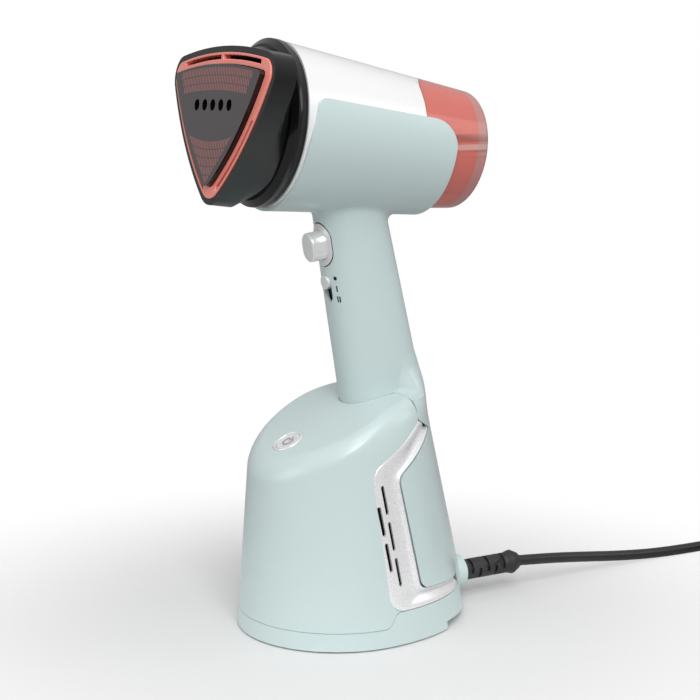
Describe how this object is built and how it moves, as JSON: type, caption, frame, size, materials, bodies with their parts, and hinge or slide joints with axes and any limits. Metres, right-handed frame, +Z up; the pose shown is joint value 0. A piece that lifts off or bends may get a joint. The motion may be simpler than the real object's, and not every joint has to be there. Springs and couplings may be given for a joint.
{
  "type": "garment steamer",
  "caption": "Free-standing hand garment steamer with suction: a triangular steam head on a leaning handle, a clear water tank behind it and a round motor base with a mains cord.",
  "frame": {"origin": "on the floor, at the centre of the pad under the round base", "axes": "+Z up; the steam face looks along -Y and the cord leaves along +Y; X=0 is the plane of symmetry"},
  "size_m": [0.222, 0.4956, 0.3543],
  "materials": {
    "mint_plastic": "satin moulded",
    "pearl_plastic": "pearl metallic",
    "black_plastic": "satin black",
    "black_gloss": "glossy black",
    "coral_plastic": "satin coral",
    "coral_clear": "clear coral",
    "sole_coating": "dark grey ceramic",
    "cast_alloy": "die cast",
    "steel": "plated",
    "copper": "wound",
    "rubber": "matte",
    "silicone": "translucent white",
    "natural_plastic": "unpainted",
    "dark_plastic": "moulded",
    "board": "solder mask"
  },
  "bodies": {
    "root": {"soleplate": "sole_coating", "suction_frame": "coral_plastic", "head_housing": "black_plastic", "collar_ring": "black_gloss", "barrel_cover": "pearl_plastic", "heating_block": "cast_alloy", "soleplate_screws": "steel", "heater_element": "steel", "thermostat": "steel", "thermal_fuse": "natural_plastic", "heat_shield": "natural_plastic", "water_pump": "copper", "pump_cradle": "rubber", "pump_hoses": "silicone", "tank_socket": "dark_plastic", "body_shell_right": "mint_plastic", "body_shell_left": "mint_plastic", "spine_cover": "mint_plastic", "shell_screws": "steel", "trigger_bezel": "pearl_plastic", "trigger_spring": "steel", "trigger_switch": "dark_plastic", "slide_plate": "dark_plastic", "slide_switch": "dark_plastic", "suction_duct": "dark_plastic", "base_front_shell": "mint_plastic", "bottom_shell": "mint_plastic", "vent_trim_right": "pearl_plastic", "vent_trim_left": "pearl_plastic", "button_ring": "pearl_plastic", "power_switch": "board", "fan_motor": "steel", "motor_bearings": "steel", "fan_housing": "dark_plastic", "motor_mount": "rubber", "control_board": "board", "board_parts": "dark_plastic", "terminal_block": "natural_plastic", "cord_clamp": "dark_plastic", "gland_boss": "mint_plastic", "strain_relief": "rubber", "inner_lead": "rubber", "base_pad": "rubber", "base_screws": "steel", "mains_cord": "rubber", "cord_coil": "rubber", "plug_body": "rubber", "plug_pins": "steel"},
    "tank": {"water_tank": "coral_clear", "tank_end_cap": "coral_clear", "outlet_valve": "natural_plastic", "valve_seal": "rubber"},
    "filler": {"filler_plug": "silicone"},
    "trigger": {"trigger_button": "pearl_plastic"},
    "slider": {"mode_slider": "pearl_plastic"},
    "power_button": {"power_button": "pearl_plastic"},
    "rotor": {"motor_shaft": "steel", "motor_rotor": "copper", "impeller": "natural_plastic", "impeller_nut": "steel"}
  },
  "joints": [
    {"name": "tank_slide", "type": "slide", "parent": "root", "child": "tank", "axis": [0, 0.9917, -0.1288], "range_m": [0, 0.095]},
    {"name": "filler_hinge", "type": "hinge", "parent": "tank", "child": "filler", "pos_m": [0, 0.08433, 0.29154], "axis": [-1, 0, 0], "range_deg": [0, 100]},
    {"name": "trigger_press", "type": "slide", "parent": "root", "child": "trigger", "axis": [0, 0.9878, 0.1559], "range_m": [0, 0.004], "stiffness_N_per_m": 500, "springref_m": -0.002, "deforming": ["trigger_spring"]},
    {"name": "mode_slide", "type": "slide", "parent": "root", "child": "slider", "axis": [0, 0.1559, -0.9878], "range_m": [0, 0.008]},
    {"name": "power_press", "type": "slide", "parent": "root", "child": "power_button", "axis": [0, 0.527, -0.8499], "range_m": [0, 0.0015], "stiffness_N_per_m": 400, "springref_m": -0.001},
    {"name": "fan_spin", "type": "hinge", "parent": "root", "child": "rotor", "pos_m": [0, 0.002, 0.06], "axis": [0, 0, 1], "continuous": true}
  ]
}
